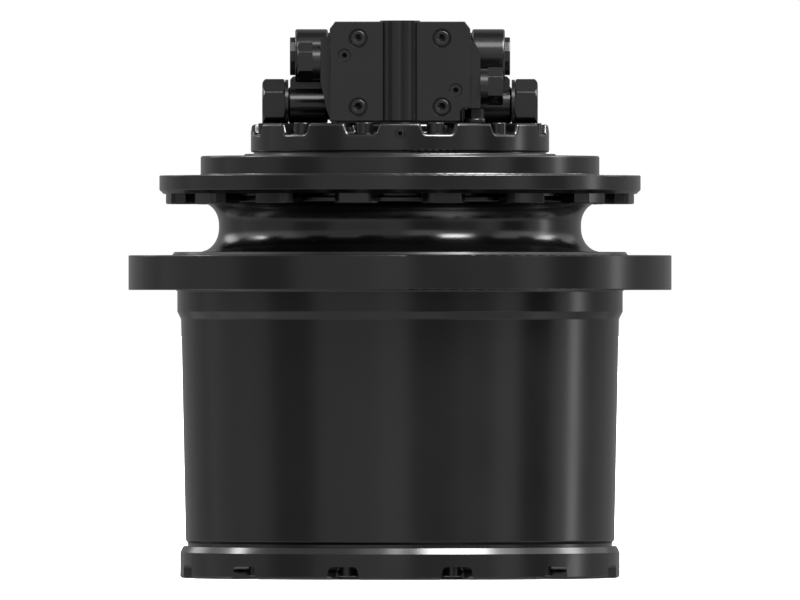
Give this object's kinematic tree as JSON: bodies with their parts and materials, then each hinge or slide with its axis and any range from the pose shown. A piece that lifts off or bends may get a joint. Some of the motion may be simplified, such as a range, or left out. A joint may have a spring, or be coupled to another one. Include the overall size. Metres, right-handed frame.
{
  "type": "excavator final drive",
  "caption": "Track drive for an excavator: hydraulic motor, brake and two-stage planetary gearbox inside a rotating sprocket hub.",
  "frame": {"origin": "on the drive axis, at the outer face of the hub cover", "axes": "+Z along the drive axis from the hub cover to the hydraulic motor; -Y is the side with the relief valve block, +X is to the right of it"},
  "size_m": [0.64, 0.64, 0.6552],
  "materials": {
    "black_paint": "gloss black paint on machined iron castings",
    "black_hardware": "satin black paint over steel",
    "steel": "machined steel, lightly oiled",
    "bearing_steel": "ground steel",
    "cast_steel": "machined cast iron",
    "bronze": "bearing bronze",
    "friction": "friction facing",
    "seal_rubber": "black nitrile"
  },
  "bodies": {
    "spindle_assembly": {"spindle": "black_paint", "motor_cover": "black_paint", "motor_cover_bolts": "black_hardware", "valve_block": "black_paint", "valve_block_screws": "black_hardware", "gallery_plugs": "black_hardware", "relief_valves": "black_hardware", "spool_caps": "black_hardware", "spool_springs": "steel", "check_valve_caps": "black_hardware", "valve_plate": "bronze", "swash_plate": "cast_steel", "brake_plates": "steel", "brake_springs": "steel", "main_bearing_inner_rings": "bearing_steel", "bearing_nut": "steel", "seal_ring_upper": "cast_steel", "seal_toric_upper": "seal_rubber", "carrier_2": "cast_steel", "planet_2_pins": "steel", "planet_2_rollers": "bearing_steel", "planet_2_washers": "bronze", "shaft_bearing_outer_rings": "bearing_steel", "shaft_seal": "seal_rubber"},
    "hub": {"hub_housing": "black_paint", "ring_gear_1": "steel", "ring_gear_2": "steel", "ring_gear_dowels": "steel", "hub_cover": "black_paint", "cover_bolts": "black_hardware", "cover_plugs": "black_hardware", "cover_seal": "seal_rubber", "main_bearing_outer_rings": "bearing_steel", "seal_ring_lower": "cast_steel", "seal_toric_lower": "seal_rubber"},
    "stage_1_carrier": {"carrier_1": "cast_steel", "sun_gear_2": "steel", "planet_1_pins": "steel", "planet_1_rollers": "bearing_steel", "planet_1_washers": "bronze"},
    "motor_rotor": {"drive_shaft": "steel", "sun_gear_1": "steel", "shaft_coupling": "steel", "cylinder_block": "cast_steel", "pistons": "steel", "slippers": "bronze", "retainer_plate": "steel", "brake_discs": "friction", "shaft_bearing_inner_rings": "bearing_steel"},
    "planet_1_first": {"planet_1a": "steel"},
    "planet_1_second": {"planet_1b": "steel"},
    "planet_1_third": {"planet_1c": "steel"},
    "planet_2_first": {"planet_2a": "steel"},
    "planet_2_second": {"planet_2b": "steel"},
    "planet_2_third": {"planet_2c": "steel"},
    "planet_2_fourth": {"planet_2d": "steel"},
    "main_rollers": {"main_bearing_rollers": "bearing_steel"},
    "shaft_rollers": {"shaft_bearing_rollers": "bearing_steel"},
    "brake_release": {"brake_piston": "steel"},
    "spool": {"counterbalance_spool": "steel"}
  },
  "joints": [
    {"name": "hub_spin", "type": "hinge", "parent": "spindle_assembly", "child": "hub", "pos_m": [0, 0, 0], "axis": [0, 0, 1], "continuous": true},
    {"name": "planet_2_first_spin", "type": "hinge", "parent": "spindle_assembly", "child": "planet_2_first", "pos_m": [0.08485, 0.08485, 0], "axis": [0, 0, 1], "continuous": true},
    {"name": "planet_2_second_spin", "type": "hinge", "parent": "spindle_assembly", "child": "planet_2_second", "pos_m": [-0.08485, 0.08485, 0], "axis": [0, 0, 1], "continuous": true},
    {"name": "planet_2_third_spin", "type": "hinge", "parent": "spindle_assembly", "child": "planet_2_third", "pos_m": [-0.08485, -0.08485, 0], "axis": [0, 0, 1], "continuous": true},
    {"name": "planet_2_fourth_spin", "type": "hinge", "parent": "spindle_assembly", "child": "planet_2_fourth", "pos_m": [0.08485, -0.08485, 0], "axis": [0, 0, 1], "continuous": true},
    {"name": "carrier_1_spin", "type": "hinge", "parent": "spindle_assembly", "child": "stage_1_carrier", "pos_m": [0, 0, 0], "axis": [0, 0, 1], "continuous": true},
    {"name": "planet_1_first_spin", "type": "hinge", "parent": "stage_1_carrier", "child": "planet_1_first", "pos_m": [0, 0.1125, 0], "axis": [0, 0, 1], "continuous": true},
    {"name": "planet_1_second_spin", "type": "hinge", "parent": "stage_1_carrier", "child": "planet_1_second", "pos_m": [-0.09743, -0.05625, 0], "axis": [0, 0, 1], "continuous": true},
    {"name": "planet_1_third_spin", "type": "hinge", "parent": "stage_1_carrier", "child": "planet_1_third", "pos_m": [0.09743, -0.05625, 0], "axis": [0, 0, 1], "continuous": true},
    {"name": "motor_spin", "type": "hinge", "parent": "spindle_assembly", "child": "motor_rotor", "pos_m": [0, 0, 0], "axis": [0, 0, 1], "continuous": true},
    {"name": "main_rollers_orbit", "type": "hinge", "parent": "spindle_assembly", "child": "main_rollers", "pos_m": [0, 0, 0], "axis": [0, 0, 1], "continuous": true},
    {"name": "shaft_rollers_orbit", "type": "hinge", "parent": "spindle_assembly", "child": "shaft_rollers", "pos_m": [0, 0, 0], "axis": [0, 0, 1], "continuous": true},
    {"name": "brake_release_slide", "type": "slide", "parent": "spindle_assembly", "child": "brake_release", "axis": [0, 0, 1], "range_m": [0, 0.0025], "stiffness_N_per_m": 20000, "springref_m": -0.002, "deforming": ["brake_springs"]},
    {"name": "spool_slide", "type": "slide", "parent": "spindle_assembly", "child": "spool", "axis": [1, 0, 0], "range_m": [-0.008, 0.008], "stiffness_N_per_m": 4000}
  ],
  "couplings": [
    {"joint": "planet_2_first_spin", "follows": "hub_spin", "ratio": 2.6},
    {"joint": "planet_2_second_spin", "follows": "hub_spin", "ratio": 2.6},
    {"joint": "planet_2_third_spin", "follows": "hub_spin", "ratio": 2.6},
    {"joint": "planet_2_fourth_spin", "follows": "hub_spin", "ratio": 2.6},
    {"joint": "carrier_1_spin", "follows": "hub_spin", "ratio": -4.3333},
    {"joint": "planet_1_first_spin", "follows": "hub_spin", "ratio": 12.606},
    {"joint": "planet_1_second_spin", "follows": "hub_spin", "ratio": 12.606},
    {"joint": "planet_1_third_spin", "follows": "hub_spin", "ratio": 12.606},
    {"joint": "motor_spin", "follows": "hub_spin", "ratio": -39},
    {"joint": "main_rollers_orbit", "follows": "hub_spin", "ratio": 0.53},
    {"joint": "shaft_rollers_orbit", "follows": "hub_spin", "ratio": -17.2}
  ]
}
